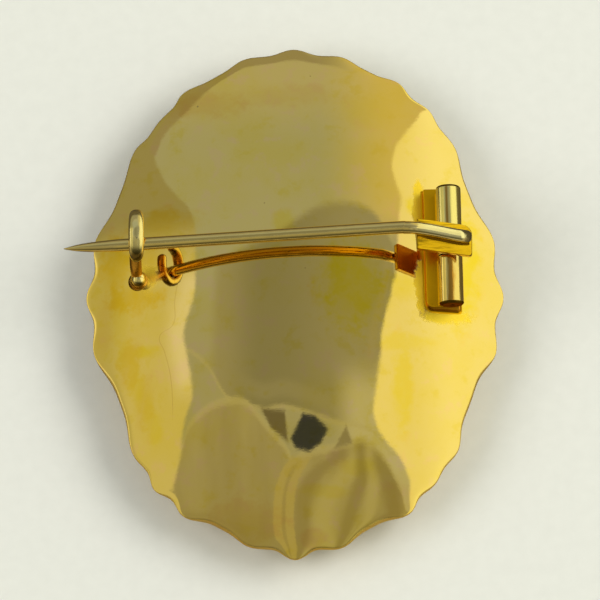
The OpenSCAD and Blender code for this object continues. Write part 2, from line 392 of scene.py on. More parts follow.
def mixed(tree, mask, first, second):
    """The first colour where a mask is 0 and the second where it is 1."""
    made = add_node(tree, "Mix", {"data_type": "RGBA"})
    # The colours' sockets of this node share their names with its other kinds
    factor, colour_a, colour_b = 0, 6, 7
    for socket, value in ((factor, mask), (colour_a, first), (colour_b, second)):
        feed(tree, made.inputs[socket], value)
    return made.outputs[2]


def new_group(name, inputs, outputs):
    """A shader node group; inputs hold a name, a type and a value, outputs a name and a type."""
    group = bpy.data.node_groups.new(name, "ShaderNodeTree")
    for label, kind, value in inputs:
        socket = group.interface.new_socket(label, in_out="INPUT", socket_type="NodeSocket" + kind)
        socket.default_value = value
    for label, kind in outputs:
        group.interface.new_socket(label, in_out="OUTPUT", socket_type="NodeSocket" + kind)
    return group, group.nodes.new("NodeGroupInput").outputs, group.nodes.new("NodeGroupOutput")


def place_group(tree, group, **sockets):
    """Places a node group and gives its outputs."""
    return add_node(tree, "Group", {"node_tree": group}, **sockets).outputs


def drawn_line(tree, along, points, reach=1.0):
    """Where a drawn line lies: a smooth curve through places, each given along and across, which
    are all within a reach of 0."""
    made = add_node(tree, "FloatCurve", Value=scaled(tree, along, 0.5 / reach, 0.5))
    made.mapping.extend = "HORIZONTAL"
    spots = [(0.5 + 0.5 * a / reach, 0.5 + 0.5 * b / reach) for a, b in sorted(points)]
    curve = made.mapping.curves[0]
    curve.points[0].location, curve.points[1].location = spots[0], spots[-1]
    for spot in spots[1:-1]:
        curve.points.new(*spot)
    made.mapping.update()
    return scaled(tree, made.outputs["Value"], 2 * reach, -reach)


def in_mm(tree):
    """The place on a piece, in millimetres."""
    made = add_node(tree, "VectorMath", {"operation": "SCALE"},
                    Vector=add_node(tree, "TexCoord").outputs["Object"], Scale=1 / MM)
    return made.outputs["Vector"]


def split_mm(tree):
    """The place on a piece, in millimetres, as X, Y and Z."""
    return add_node(tree, "SeparateXYZ", Vector=in_mm(tree)).outputs


def solder_stain():
    """A patch about a place, made ragged by an unevenness that all patches share."""
    group, given, out = new_group(
        "solder_stain",
        [("Place", "Vector", (0, 0, 0)), ("Reach", "Vector", (1, 1, 1)), ("Uneven", "Float", 0.0)],
        [("Mask", "Float")],
    )
    away = vector_maths(group, "SUBTRACT", in_mm(group), given["Place"])
    away = vector_maths(group, "DIVIDE", away, given["Reach"])
    far = fed_node(group, "VectorMath", {"operation": "LENGTH"}, away).outputs["Value"]
    far = maths(group, "ADD", far, given["Uneven"])
    feed(group, out.inputs["Mask"], fade(group, far, 1.15, 0.35))
    return group


def hand_polish():
    """Fine hairlines of polishing, as a height, and the haze they leave, as a mask."""
    group, given, out = new_group(
        "hand_polish",
        [("Grain", "Float", 6.0), ("Stretch", "Vector", (1, 12, 1))],
        [("Height", "Float"), ("Haze", "Float")],
    )
    here = in_mm(group)
    drawn = vector_maths(group, "MULTIPLY", here, given["Stretch"])
    feed(group, out.inputs["Height"], cloudy(group, drawn, given["Grain"], 4.0, 0.65))
    feed(group, out.inputs["Haze"], fade(group, cloudy(group, here, 0.26, 6.0, 0.62), 0.42, 0.72))
    return group


def fine_pits():
    """Tiny dark pits and specks of old polish."""
    group, given, out = new_group("fine_pits", [("Spacing", "Float", 0.7)], [("Mask", "Float")])
    here = in_mm(group)
    cells = add_node(group, "TexVoronoi", Vector=here, Scale=given["Spacing"], Randomness=1.0)
    # Most pits are too small to show
    size = times(group, fade(group, cloudy(group, here, 0.9, 2.0), 0.55, 0.75), 0.07)
    feed(group, out.inputs["Mask"], maths(group, "LESS_THAN", cells.outputs["Distance"], size))
    return group


def tilted_away():
    """Where the surface has turned away from facing up, or from facing along another axis."""
    group, given, out = new_group(
        "tilted_away",
        [("Axis", "Vector", (0, 0, 1)), ("From", "Float", -0.1), ("To", "Float", -0.5)],
        [("Mask", "Float")],
    )
    facing = dot(group, add_node(group, "TexCoord").outputs["Normal"], given["Axis"])
    feed(group, out.inputs["Mask"], fade(group, facing, given["From"], given["To"]))
    return group


# A place along X that is past every piece, in millimetres
FAR_OFF = 100.0


def gloss_lean():
    """A height that turns the gloss to the right from a place along X on, as a top does that
    slopes down there, and more and more past its rounded end."""
    group, given, out = new_group(
        "gloss_lean",
        [("Start", "Float", 0.0), ("Slope", "Float", 0.3), ("End", "Float", FAR_OFF)],
        [("Height", "Float")],
    )
    along = split_mm(group)["X"]
    past = minus(group, along, given["Start"])
    # A bend over the first millimetre, and a straight slope after it
    bend = maths(group, "MINIMUM", maths(group, "MAXIMUM", past, 0.0), 1.0)
    straight = maths(group, "MAXIMUM", minus(group, past, 1.0), 0.0)
    drop = scaled(group, times(group, bend, bend), 0.5, straight)
    over = maths(group, "MAXIMUM", minus(group, along, given["End"]), 0.0)
    drop = scaled(group, drop, given["Slope"], times(group, over, over))
    feed(group, out.inputs["Height"], times(group, drop, -1.0))
    return group


def opened(material):
    """A material's node tree and its shader."""
    tree = material.node_tree
    return tree, tree.nodes["Principled BSDF"]


def new_material(name):
    """A material of clean metal, to be coloured."""
    material = bpy.data.materials.new(name)
    material.use_nodes = True
    tree, shader = opened(material)
    shader.inputs["Metallic"].default_value = 1.0
    return material, tree, shader


def so_far(shader, name):
    """What feeds one of a shader's sockets up to now."""
    return shader.inputs[name].links[0].from_socket


# Colours of the gold, red, green and blue, by where they are
CASE_PALE, CASE_WARM = (0.98, 0.705, 0.215, 1), (0.97, 0.69, 0.15, 1)
CASE_ROSY, CASE_GOLDEN = (1.0, 0.665, 0.26, 1), (0.93, 0.65, 0.085, 1)
CASE_YELLOW, CASE_ORANGE = (0.96, 0.675, 0.02, 1), (0.94, 0.585, 0.02, 1)
CASE_BROWN, CASE_CRUST = (0.88, 0.53, 0.08, 1), (0.95, 0.66, 0.035, 1)
CASE_SCRATCH, CASE_PIT = (0.62, 0.36, 0.06, 1), (0.58, 0.40, 0.12, 1)
# The fittings' tones: clean gold, and darker painted shade for where each one faces down
TUBE_CLEAN, TUBE_UNDER_SHADE = (0.98, 0.70, 0.20, 1), (0.44, 0.19, 0.012, 1)
# A painted highlight on the upper tube's top, and a dark line along the tubes
TUBE_TOP_HIGHLIGHT, TUBE_LINE = (1.0, 0.80, 0.27, 1), (0.62, 0.27, 0.02, 1)
BLOCK_CLEAN, BLOCK_UNDER_SHADE = (0.93, 0.45, 0.005, 1), (0.5, 0.22, 0.005, 1)
BLOCK_DARK_END = (0.20, 0.09, 0.004, 1)
STRAP_CLEAN, STRAP_UNDER_SHADE = (0.84, 0.48, 0.012, 1), (0.86, 0.35, 0.012, 1)
HOOK_CLEAN, HOOK_UNDER_SHADE = (1.0, 0.79, 0.31, 1), (0.55, 0.26, 0.02, 1)
# Painted shade on the hook's lower and upper turns
HOOK_LOWER_TURN_SHADE, HOOK_UPPER_TURN_SHADE = (0.20, 0.13, 0.03, 1), (0.34, 0.25, 0.09, 1)
POST_CLEAN, POST_UNDER_SHADE = (0.80, 0.40, 0.05, 1), (0.4, 0.17, 0.01, 1)
# Painted shade on the post's left side
POST_LEFT_SHADE = (0.24, 0.11, 0.008, 1)
WIRE_CLEAN, WIRE_UNDER_SHADE = (0.95, 0.70, 0.24, 1), (0.66, 0.44, 0.10, 1)
WIRE_FLOODED = (1.0, 0.84, 0.42, 1)
BEAD_CLEAN, BEAD_UNDER_SHADE = (0.62, 0.29, 0.008, 1), (0.4, 0.17, 0.01, 1)
END_CLEAN, END_UNDER_SHADE = (0.16, 0.085, 0.007, 1), (0.12, 0.06, 0.005, 1)
END_SLANT = (0.45, 0.32, 0.14, 1)
GRIME = (0.2, 0.13, 0.05, 1)

# Patches on the back: the point of the picture where the middle of each is seen, its reach along X
# and along Y in millimetres, and its strength. Yellow ones are left by solder and flux.
YELLOW = [
    (355, 284, 3.4, 5.2, 1.0),
    (403, 287, 1.9, 1.6, 0.7),
    (404, 342, 3.0, 1.0, 0.6),
    (402, 385, 1.1, 4.6, 0.7),
    (455, 262, 2.5, 6.4, 0.9),
    (444, 316, 2.6, 0.8, 0.8),
    (412, 204, 0.7, 1.0, 0.9),
    (285, 223, 1.1, 1.3, 0.6),
    (120, 322, 1.1, 3.0, 0.45),
    (144, 353, 1.5, 0.7, 0.9),
    (126, 356, 1.0, 2.2, 0.8),
    (133, 374, 0.85, 2.3, 0.85),
    (140, 392, 0.75, 2.3, 0.8),
    (148, 410, 0.7, 2.3, 0.8),
    (156, 428, 0.7, 1.9, 0.6),
    (372, 108, 4.0, 2.0, 0.3),
    (325, 490, 2.3, 0.7, 0.5),
    (360, 466, 1.9, 0.9, 0.5),
]
# Brown ones are tarnish and scorched flux.
BROWN = [
    (240, 522, 4.6, 2.4, 0.45),
    (314, 538, 1.2, 1.0, 0.5),
    (205, 104, 4.6, 1.5, 0.6),
    (290, 94, 5.5, 1.2, 0.35),
    (398, 500, 1.6, 2.2, 0.35),
    (103, 330, 1.1, 3.6, 0.35),
    (130, 364, 1.2, 3.0, 0.45),
    (145, 402, 1.1, 3.2, 0.4),
]
# Orange ones are the same about the catch, where it is thicker.
ORANGE = [
    (160, 224, 3.2, 1.5, 0.8),
    (183, 221, 2.0, 1.1, 0.5),
    (116, 268, 1.9, 3.0, 0.95),
    (136, 297, 3.0, 1.7, 0.9),
    (150, 262, 1.5, 2.4, 0.8),
]
# Crust is what is left of the flux round the feet of the fittings: dull, and hardly metal.
CRUST = [
    (419, 203, 0.60, 2.1, 1.0),
    (421, 290, 0.64, 2.4, 1.0),
    (440, 316, 2.6, 0.7, 0.5),
    (149, 278, 1.0, 1.5, 0.25),
]
# A hairline scratch beside the catch, by points of the picture
SCRATCH = [(178, 282), (175, 300), (173, 325), (160, 336), (165, 352), (171, 377), (173, 415)]


def all_patches(tree, uneven, patches):
    """A mask of all the patches of a list; where they overlap, the strongest shows."""
    most = None
    for px, py, reach_x, reach_y, strength in patches:
        patch = place_group(tree, STAIN, Place=on_back(px, py), Reach=(reach_x, reach_y, 4),
                            Uneven=uneven)
        mask = times(tree, patch["Mask"], strength)
        most = mask if most is None else maths(tree, "MAXIMUM", most, mask)
    return most


def scratch_mask(tree):
    """Where the hairline scratch runs, thinning out at both ends."""
    split = split_mm(tree)
    places = [on_back(px, py) for px, py in SCRATCH]
    line = drawn_line(tree, split["Y"], [(place.y, place.x) for place in places], 15)
    mask = fade(tree, off_from(tree, split["X"], line), 0.07, 0.02)
    for end, beyond in ((0.4, 1.2), (-9.5, -11.5)):
        mask = times(tree, mask, fade(tree, split["Y"], beyond, end))
    return mask


def case_gold():
    """Gold of the case: a polished mirror, mottled, stained by solder and flux, and scuffed at
    its edge."""
    material, tree, shader = new_material("case_gold")
    here = in_mm(tree)
    broad = cloudy(tree, here, 0.13, 5.0, 0.6)
    cloud = cloudy(tree, here, 0.5, 6.0, 0.66)
    colour = mixed(tree, fade(tree, broad, 0.40, 0.72), CASE_PALE, CASE_WARM)
    # Mottled by handling: rosier and yellower places a few millimetres across
    for start, end, share, tone in ((0.46, 0.34, 0.65, CASE_ROSY), (0.54, 0.68, 0.6, CASE_GOLDEN)):
        colour = mixed(tree, times(tree, fade(tree, cloud, start, end), share), colour, tone)
    uneven = scaled(tree, cloud, 2.4, -1.2)
    full = scaled(tree, fade(tree, cloud, 0.30, 0.62), -0.35, 1.0)
    for patches, tone in ((YELLOW, CASE_YELLOW), (ORANGE, CASE_ORANGE), (BROWN, CASE_BROWN)):
        mask = times(tree, all_patches(tree, uneven, patches), full)
        colour = mixed(tree, mask, colour, tone)
    # The crust has a sharper edge than the stains
    crust = maths(tree, "MINIMUM", times(tree, all_patches(tree, uneven, CRUST), 2.5), 1.0)
    colour = mixed(tree, crust, colour, CASE_CRUST)
    feed(tree, shader.inputs["Metallic"], scaled(tree, crust, -0.8, 1.0))
    shader.inputs["Specular IOR Level"].default_value = 0.15
    colour = mixed(tree, times(tree, scratch_mask(tree), 0.3), colour, CASE_SCRATCH)
    pit = place_group(tree, PITS, Spacing=0.62)["Mask"]
    feed(tree, shader.inputs["Base Color"], mixed(tree, pit, colour, CASE_PIT))
    worked = place_group(tree, POLISH, Grain=1.6, Stretch=(1, 1.6, 1))
    rough = scaled(tree, worked["Haze"], 0.035, 0.022)
    rough = scaled(tree, crust, 0.3, rough)
    # The edge that turns down is scuffed
    edge = place_group(tree, TILTED, From=0.86, To=0.70)["Mask"]
    feed(tree, shader.inputs["Roughness"], scaled(tree, edge, 0.45, rough))
    bump = add_node(tree, "Bump", Strength=0.012, Distance=0.0001, Height=worked["Height"])
    feed(tree, shader.inputs["Normal"], bump.outputs["Normal"])
    return material


def fitting_gold(name, clean, under, roughness, grain=2.5, stretch=(1, 1, 1), streaks=0.0):
    """Gold of a fitting: drawn or filed, a little duller than the case, with grime in its pits and
    painted shade where it faces down."""
    material, tree, shader = new_material(name)
    worked = place_group(tree, POLISH, Grain=grain, Stretch=stretch)
    dull = tuple(0.55 * c for c in clean[:3]) + (1,)
    tint = mixed(tree, times(tree, worked["Haze"], 0.22), clean, dull)
    tint = mixed(tree, times(tree, fade(tree, worked["Height"], 0.5, 0.62), streaks), tint, dull)
    # Painted shade where the fitting faces down
    tint = mixed(tree, place_group(tree, TILTED, From=-0.1, To=-0.5)["Mask"], tint, under)
    pit = place_group(tree, PITS, Spacing=1.5)["Mask"]
    feed(tree, shader.inputs["Base Color"], mixed(tree, pit, tint, GRIME))
    feed(tree, shader.inputs["Roughness"], scaled(tree, worked["Haze"], 0.1, roughness))
    bump = add_node(tree, "Bump", Strength=0.06, Distance=0.0001, Height=worked["Height"])
    feed(tree, shader.inputs["Normal"], bump.outputs["Normal"])
    return material


def lean_right(material, start, angle, end=FAR_OFF):
    """Puts the leaning gloss under a fitting's fine grain."""
    tree, _ = opened(material)
    fine = next(node for node in tree.nodes if node.bl_idname == "ShaderNodeBump")
    lean = place_group(tree, LEAN, Start=start, Slope=math.tan(math.radians(angle)), End=end)
    slope = add_node(tree, "Bump", Strength=1.0, Distance=MM, Height=lean["Height"])
    feed(tree, fine.inputs["Normal"], slope.outputs["Normal"])


def recolour(material, mask, tone):
    """Colours a fitting over what it has so far, where a mask says."""
    tree, shader = opened(material)
    feed(tree, shader.inputs["Base Color"], mixed(tree, mask, so_far(shader, "Base Color"), tone))


def roughen(material, mask, more):
    """Makes a fitting rougher than it is so far, where a mask says."""
    tree, shader = opened(material)
    rough = scaled(tree, mask, more, so_far(shader, "Roughness"))
    feed(tree, shader.inputs["Roughness"], rough)


def recolour_away(material, tone, axis, start, end):
    """Colours a fitting where it has turned away from an axis."""
    tree, _ = opened(material)
    away = place_group(tree, TILTED, Axis=axis, From=start, To=end)["Mask"]
    recolour(material, away, tone)


def tube_gold():
    """Gold of the tubes: a ragged dark line along the lower one's top, and a narrow one along the
    upper one's, which is more worn and has a painted highlight on its top."""
    material = fitting_gold("tube_gold", TUBE_CLEAN, TUBE_UNDER_SHADE, 0.05, 1.4, (6, 0.5, 6))
    tree, _ = opened(material)
    split = split_mm(tree)
    drawn = vector_maths(tree, "MULTIPLY", in_mm(tree), (2.6, 0.28, 2.6))
    wavy = cloudy(tree, drawn, 1.0, 4.0, 0.6)
    # How far to the right of the hinge line, which runs to the left by a slant
    slant = 0.028
    off = maths(tree, "ADD", split["X"], times(tree, split["Y"], slant))
    off = minus(tree, off, HINGE_X + slant * HINGE_Y)
    upper = fade(tree, split["Y"], HINGE_Y + 1.0, HINGE_Y + 1.4)
    lower = fade(tree, split["Y"], HINGE_Y + 1.5, HINGE_Y + 0.5)
    ragged = maths(tree, "ABSOLUTE", maths(tree, "ADD", off, scaled(tree, wavy, 0.9, -0.40)))
    broad = times(tree, fade(tree, ragged, 0.40, 0.15), lower, 0.85)
    wavering = maths(tree, "ABSOLUTE", maths(tree, "ADD", off, scaled(tree, wavy, 0.2, 0.09)))
    narrow = times(tree, fade(tree, wavering, 0.17, 0.05), upper, 0.8)
    top = minus(tree, 1.0, place_group(tree, TILTED, From=0.1, To=-0.05)["Mask"])
    # A painted highlight where the upper tube faces up
    recolour(material, times(tree, upper, top), TUBE_TOP_HIGHLIGHT)
    recolour(material, maths(tree, "MAXIMUM", broad, narrow), TUBE_LINE)
    roughen(material, upper, 0.08)
    lean_right(material, -5.0, 7)
    return material


def block_gold():
    """Gold of the bearer block: coppery from the solder, and darker on its lower end."""
    material = fitting_gold("block_gold", BLOCK_CLEAN, BLOCK_UNDER_SHADE, 0.28)
    recolour_away(material, BLOCK_DARK_END, (0, 1, 0), -0.45, -0.85)
    return material


def catch_gold():
    """Gold of the hook and its ball: pale and worn, with painted shade on its two turns."""
    material = fitting_gold("catch_gold", HOOK_CLEAN, HOOK_UNDER_SHADE, 0.14)
    # Painted shade where the hook's turns face along the oval
    recolour_away(material, HOOK_LOWER_TURN_SHADE, (0, 1, 0), -0.5, -0.8)
    recolour_away(material, HOOK_UPPER_TURN_SHADE, (0, -1, 0), -0.72, -0.95)
    return material


def post_gold():
    """Gold of the catch's post and foot: coppery from the solder, with painted shade on its
    left side.
    """
    material = fitting_gold("post_gold", POST_CLEAN, POST_UNDER_SHADE, 0.24)
    # Painted shade where the post faces left
    recolour_away(material, POST_LEFT_SHADE, (1, 0, 0), -0.2, -0.7)
    return material


def strap_gold():
    """Gold of the strap: streaked by the file on its top, and dull on its underside, with painted
    shade there.
    """
    material = fitting_gold("strap_gold", STRAP_CLEAN, STRAP_UNDER_SHADE, 0.12, 1.3, (0.4, 5, 1),
                            streaks=0.75)
    tree, _ = opened(material)
    roughen(material, place_group(tree, TILTED, From=-0.3, To=-0.7)["Mask"], 0.3)
    lean_right(material, 8.0, 25)
    return material


def wire_gold():
    """Gold of the stem: bright and paler on its end over the strap, where solder flooded it."""
    material = fitting_gold("wire_gold", WIRE_CLEAN, WIRE_UNDER_SHADE, 0.06, 1.2, (0.4, 5, 5))
    tree, _ = opened(material)
    flooded = fade(tree, split_mm(tree)["X"], 9.6, 11.6)
    recolour(material, flooded, WIRE_FLOODED)
    roughen(material, flooded, 0.05)
    lean_right(material, 9.6, 18, 14.2)
    return material


def end_gold():
    """Dark gold on the ends of the tubes and on the rivet. It doesn't brighten at a slant as
    clean gold does."""
    material = fitting_gold("end_gold", END_CLEAN, END_UNDER_SHADE, 0.28)
    _, shader = opened(material)
    shader.inputs["Specular Tint"].default_value = END_SLANT
    return material


STAIN, POLISH, PITS = solder_stain(), hand_polish(), fine_pits()
TILTED, LEAN = tilted_away(), gloss_lean()
CASE_GOLD = case_gold()
TUBE_GOLD = tube_gold()
BLOCK_GOLD = block_gold()
STRAP_GOLD = strap_gold()
CATCH_GOLD = catch_gold()
POST_GOLD = post_gold()
WIRE_GOLD = wire_gold()
SOLDER_GOLD = fitting_gold("solder_gold", BEAD_CLEAN, BEAD_UNDER_SHADE, 0.24)
END_GOLD = end_gold()


# ---- The case ----

SPOKES = 480
ANGLES = [360 * k / SPOKES for k in range(SPOKES)]
SWELLS = [swell(t) for t in ANGLES]
OUTWARD = [Vector((cosd(t) / OVAL_W, sind(t) / OVAL_L)).normalized() for t in ANGLES]
OVAL = [Vector((OVAL_W / 2 * cosd(t), OVAL_L / 2 * sind(t))) for t in ANGLES]
EDGES = [spot + out_by * outward for spot, out_by, outward in zip(OVAL, SWELLS, OUTWARD)]
# Height of the top of the front at the edge; under the boldest scallops it dips below the dome
SEAMS = [min(FRONT_H, back_z(edge.x, edge.y) - EDGE_TURN - SEAM) for edge in EDGES]


def case_ring(share, way, inset, height):
    """A ring round the case at a share of its oval and of the way out to the scallops, drawn in
    by an inset; the height is found from the place and from the height of the edge there."""
    ring = []
    for on_oval, out_by, outward, seam in zip(OVAL, SWELLS, OUTWARD, SEAMS):
        spot = on_oval * share + (way**2 * out_by - inset) * outward
        ring.append(Vector((spot.x, spot.y, height(spot, share, way, seam))))
    return ring


def back_height(spot, share, way, seam):
    """The dome, which runs on to the scallops and turns down there."""
    turn = rim_fall(way, EDGE_EVEN)
    dome = back_z(spot.x, spot.y) + hammered(spot.x, spot.y) * (1 - way**4)
    return dome + (seam + SEAM - dome) * turn


def front_height(spot, share, way, seam):
    """A flat table, a sloping border and a quarter round up to the seam."""
    border = BORDER_H * (max(0, share - TABLE_SHARE) / (1 - TABLE_SHARE)) ** 2
    return border + (seam - BORDER_H) * rim_fall(way, 1)


def make_shell(name, node, height, up, spans, ways):
    """One half of the case: its outside from the middle to the seam, a fine rounded lip, and its
    inside."""
    bm = bmesh.new()
    rings = [case_ring(s, 0, 0, height) for s in spans]
    rings += [case_ring(rim_share(way), way, 0, height) for way in ways]
    for a in (0, 30, 60, 90):
        lift = up * LIP * (1 - sind(a))
        rings.append(case_ring(1, 1, LIP * (1 - cosd(a)), lambda *at: height(*at) + lift))
    rings.append(case_ring(1, 1, SHEET_T, height))
    for share, way, inset in ((rim_share(0.8), 0.8, SHEET_T / 2), (RIM_SHARE, 0, 0), (0.5, 0, 0),
                              (0.01, 0, 0)):
        rings.append(case_ring(share, way, inset, lambda *at: height(*at) - up * SHEET_T))
    add_rings(bm, rings)
    finished(name, bm, "brooch", "case_gold", node, CASE_GOLD, sharp=60)


BACK_SPANS = [0.002] + [RIM_SHARE * k / 44 for k in range(1, 45)]
BACK_WAYS = [0.1, 0.2, 0.3, 0.4, 0.5, 0.6, 0.7, 0.78, 0.84, 0.88, 0.91, 0.935, 0.955, 0.97,
             0.98, 0.987, 0.992, 0.9955, 0.998, 0.9993, 0.9999]
FRONT_SPANS = [0.01, 0.3, 0.5, TABLE_SHARE] + [
    TABLE_SHARE + (RIM_SHARE - TABLE_SHARE) * k / 14 for k in range(1, 15)]
FRONT_WAYS = [sind(a) for a in range(5, 90, 5)]
make_shell("domed_back", "back_shell", back_height, 1, BACK_SPANS, BACK_WAYS)
make_shell("plain_front", "front_shell", front_height, -1, FRONT_SPANS, FRONT_WAYS)


# ---- The hinge ----

# Steps round a corner, and the distance between points along a straight side
CORNER_STEPS, POINT_GAP = 6, 0.25


def corner_outline(x0, x1, y0, y1, radii):
    """A rectangle with a rounding of its own at each corner: lower left, lower right, upper right
    and upper left."""
    corners = [(x0, y0, 180), (x1, y0, 270), (x1, y1, 0), (x0, y1, 90)]
    outline = []
    for (x, y, start), r in zip(corners, radii):
        cx = x + r if x == x0 else x - r
        cy = y + r if y == y0 else y - r
        for k in range(CORNER_STEPS + 1):
            a = start + 90 * k / CORNER_STEPS
            outline.append((cx + r * cosd(a), cy + r * sind(a)))
    return outline


def dense(points):
    """The same closed line with points closer together."""
    made = []
    for (x0, y0), (x1, y1) in zip(points, points[1:] + points[:1]):
        count = max(1, round(math.hypot(x1 - x0, y1 - y0) / POINT_GAP))
        made += [(x0 + (x1 - x0) * k / count, y0 + (y1 - y0) * k / count) for k in range(count)]
    return made


def back_under(x, y):
    """Height of the back under a place in the hinge's own measure."""
    spot = at_hinge((x, y, 0))
    return back_z(spot.x, spot.y) + hammered(spot.x, spot.y) - HINGE_Z


def make_bearer(bm):
    """The block under the tubes, with rounded corners and a fillet of solder round its foot."""
    outline = dense(corner_outline(-BEARER_IN, BEARER_OUT, BEARER_SHORT - REACH_LOW,
                                   REACH_HIGH + BEARER_PAST, (0.6, 0.25, 0.2, 0.14)))
    count = len(outline)
    middle = Vector((sum(x for x, _ in outline) / count, sum(y for _, y in outline) / count))

    def level(grow, height):
        """The outline grown outwards by a distance, at a height found from the place."""
        ring = []
        for x, y in outline:
            away = Vector((x, y)) - middle
            away = Vector((away.x / (BEARER_IN + BEARER_OUT), away.y / (REACH_LOW + REACH_HIGH)))
            away.normalize()
            px, py = x + grow * away.x, y + grow * away.y
            ring.append(at_hinge((px, py, height(px, py))))
        return ring

    # How far each level stands out, and how high it is over the back or under the block's top
    foot = [(0.34, -0.02), (0.2, 0.03), (0.1, 0.09), (0.03, 0.2), (0.0, 0.34)]
    top = [(0.0, 0.12), (-0.035, 0.035), (-0.12, 0.0)]
    rings = [level(grow, lambda x, y: back_under(x, y) + up) for grow, up in foot]
    rings += [level(grow, lambda x, y: BEARER_TOP - down) for grow, down in top]
    return add_rings(bm, rings)


def add_bar(bm, section, y0, y1):
    """A bar along the hinge line with the given cross-section of x and z."""
    lengths = [y0 + (y1 - y0) * k / BAR_STEPS for k in range(BAR_STEPS + 1)]
    return add_rings(bm, [[at_hinge((x, y, z)) for x, z in section] for y in lengths])


def solder_section(side):
    """Cross-section of the solder that fills in between a tube and the block's top, on the left
    of the tube (side -1) or on its right (side 1)."""
    low, high = (212, 268) if side < 0 else (328, 272)
    turns = [low + (high - low) * k / 5 for k in range(6)]
    tube = [(TUBE_R * cosd(a), TUBE_R * sind(a)) for a in turns]
    foot_x = -1.13 if side < 0 else BEARER_OUT - 0.02
    foot = [(tube[-1][0], BEARER_TOP - 0.1), (foot_x, BEARER_TOP - 0.1),
            (foot_x, BEARER_TOP + 0.01)]
    start, end = foot[-1], tube[0]
    bend = (end[0] - side * 0.03, start[1] + 0.06)
    curve = []
    for k in range(1, 6):
        u = k / 6
        curve.append(tuple((1 - u) ** 2 * a + 2 * u * (1 - u) * b + u * u * c
                           for a, b, c in zip(start, bend, end)))
    return tube + foot + curve


def make_hinge():
    """The block with the two fixed tubes, and the rivet through them."""
    inner = KNUCKLE_L / 2 + END_GAP
    along_hinge = at_hinge((0, 1, 0)) - at_hinge((0, 0, 0))
    bm = bmesh.new()
    paint(make_bearer(bm), 1)
    for along, reach in ((1, REACH_HIGH), (-1, REACH_LOW)):
        profile = [(BORE_R, inner), (TUBE_R - INNER_ROUND, inner), (TUBE_R, inner + INNER_ROUND)]
        profile += rounded_end(TUBE_R, reach, TUBE_ROUND)
        profile += [(BORE_R, reach), (BORE_R, reach - 0.02)]
        tube = add_turned(bm, profile, along)
        bm.normal_update()
        paint([face for face in tube if abs(face.normal.dot(along_hinge)) > 0.3], 2)
        for side in (-1, 1):
            y0, y1 = along * (inner + 0.04), along * (reach - TUBE_ROUND - 0.02)
            paint(add_bar(bm, solder_section(side), y0, y1), 1)
    finished("hinge_block_and_tubes", bm, "brooch", "fitting_gold", "hinge_base",
             TUBE_GOLD, BLOCK_GOLD, END_GOLD)

    bm = bmesh.new()
    profile = [(0.3, 0.02 - REACH_LOW), (RIVET_R - 0.06, 0.06 - REACH_LOW),
               (RIVET_R, 0.2 - REACH_LOW)]
    profile += rounded_end(RIVET_R, REACH_HIGH - 0.02, RIVET_ROUND) + [(0.2, REACH_HIGH + 0.02)]
    add_turned(bm, profile)
    finished("hinge_rivet_pin", bm, "brooch", "fitting_gold", "hinge_rivet", END_GOLD)


make_hinge()


# ---- The strap and the stem ----

# The stem from its end over the hinge: x, y and share of its full diameter
STEM_END = [
    (15.13, 3.69, 0.34),
    (15.06, 3.70, 0.66),
    (14.88, 3.73, 0.88),
    (14.55, 3.79, 1.00),
    (13.60, 3.96, 1.00),
    (12.20, 4.26, 1.00),
    (11.20, 4.45, 1.00),
    (10.30, 4.57, 1.00),
    (9.40, 4.61, 1.00),
    (8.40, 4.59, 1.00),
]
# From there straight to the point: share of the way and of the diameter. The stem falls off along
# Y by RUN_DROP for each millimetre.
STEM_RUN = [(0.30, 1.00), (0.55, 1.00), (0.80, 1.00), (0.87, 0.89), (0.92, 0.74),
            (0.955, 0.54), (0.98, 0.30), (1.00, 0.06)]
RUN_DROP = 0.0584


def stem_rows():
    """The whole stem, in close rows of x, y and share of the diameter."""
    start_x, start_y, _ = STEM_END[-1]
    rows = [list(row) for row in STEM_END]
    for way, size in STEM_RUN:
        dx = way * (TIP_X - start_x)
        rows.append([start_x + dx, start_y + RUN_DROP * dx, size])
    return smooth_rows(rows, 8)


def stem_y_at(x):
    """Place of the middle of the stem along Y at a place along X."""
    rows = stem_rows()
    for (x0, y0, _), (x1, y1, _) in zip(rows, rows[1:]):
        if x1 <= x <= x0:
            return y0 + (y1 - y0) * (x - x0) / (x1 - x0)
    return rows[-1][1]


def make_stem():
    """The wire, round all along, with a rounded end and a long point."""
    rows = stem_rows()
    spots = [Vector((x, y, stem_height(x))) for x, y, _ in rows]
    rings = []
    for i, (spot, row) in enumerate(zip(spots, rows)):
        way = (spots[min(i + 1, len(spots) - 1)] - spots[max(i - 1, 0)]).normalized()
        side = way.cross(Vector((0, 0, 1))).normalized()
        r = max(0.02, row[2]) * STEM_D / 2
        rings.append(oval_ring(spot, side, side.cross(way), r, r))
    bm = bmesh.new()
    add_rings(bm, rings)
    finished("pin_wire", bm, "pin", "stem_gold", "pin_stem", WIRE_GOLD)


def strap_spot(along, across, up):
    """A place in the strap: along and across from its middle, and up from its underside."""
    tilt = math.atan(STEM_SLOPE)
    middle_x = HINGE_X + STRAP_DX
    under = stem_height(middle_x) - STEM_D / 2 - SEAT - STRAP_T
    return Vector((
        middle_x + along * math.cos(tilt) - up * math.sin(tilt),
        HINGE_Y + across + along * math.tan(math.radians(STRAP_SLANT)),
        under + along * math.sin(tilt) + up * math.cos(tilt),
    ))


